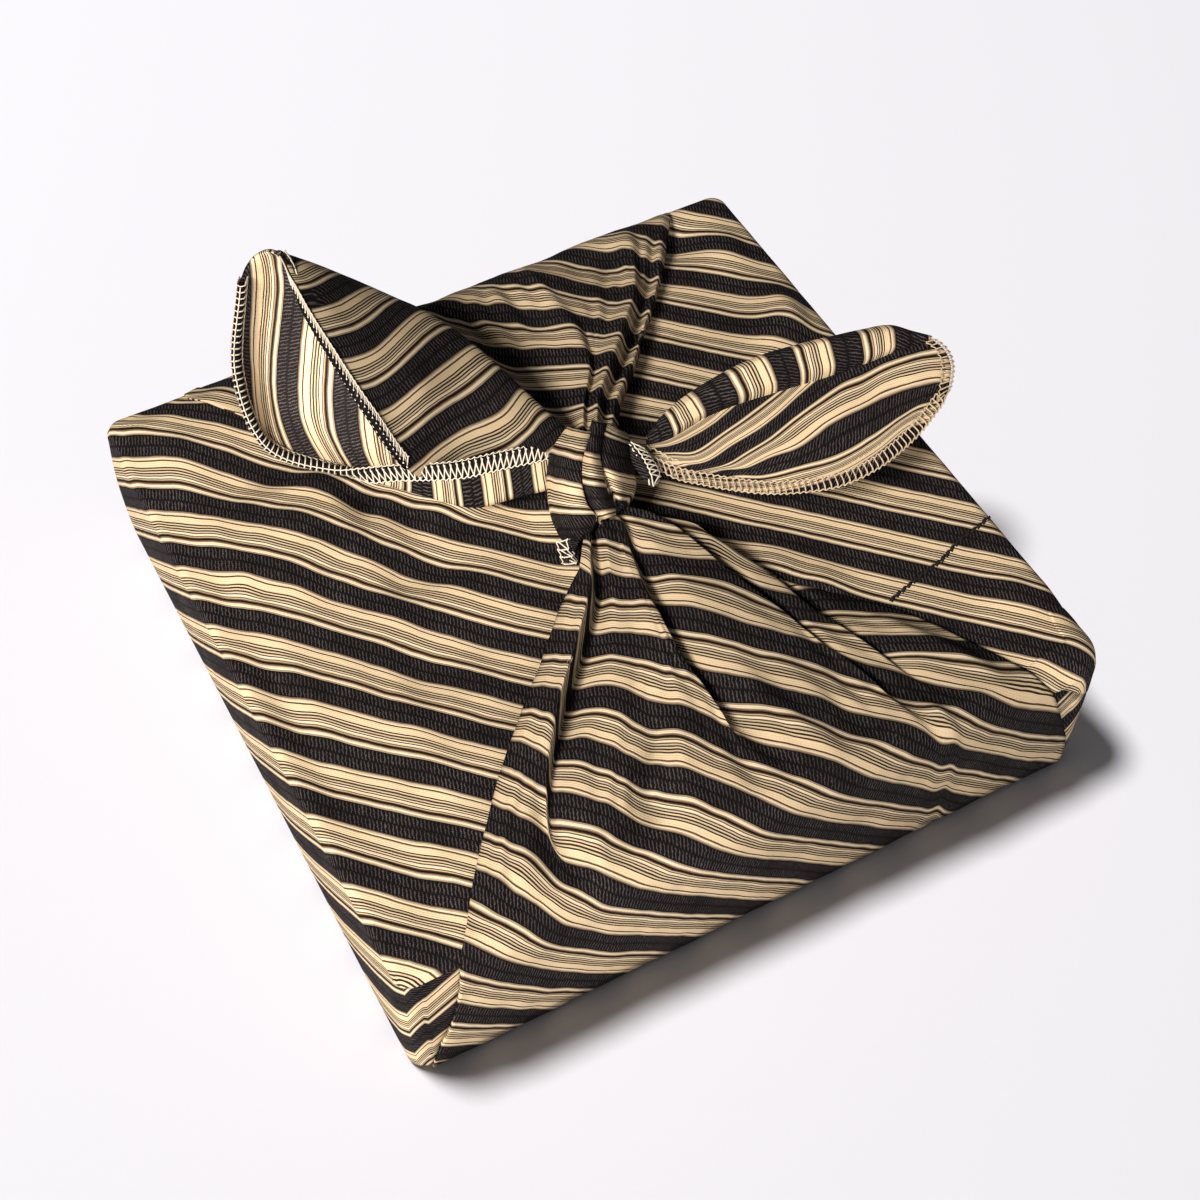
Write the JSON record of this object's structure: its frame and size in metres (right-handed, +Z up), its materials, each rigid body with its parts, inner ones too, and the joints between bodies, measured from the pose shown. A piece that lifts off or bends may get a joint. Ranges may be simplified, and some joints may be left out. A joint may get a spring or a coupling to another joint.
{
  "type": "furoshiki wrapped gift box",
  "caption": "Flat square box wrapped in one striped cloth, with gathered panels tied in a knot on top and the cloth's ends standing as leaves.",
  "frame": {"origin": "on the table, under the middle of the wrapped body", "axes": "+Z up, the gathered front panel faces -Y, +X to the right of someone who faces that panel"},
  "size_m": [0.1777, 0.1702, 0.0774],
  "materials": {
    "striped_cloth": "matt woven cotton"
  },
  "bodies": {
    "root": {"furoshiki_cloth": "striped_cloth"}
  },
  "joints": []
}
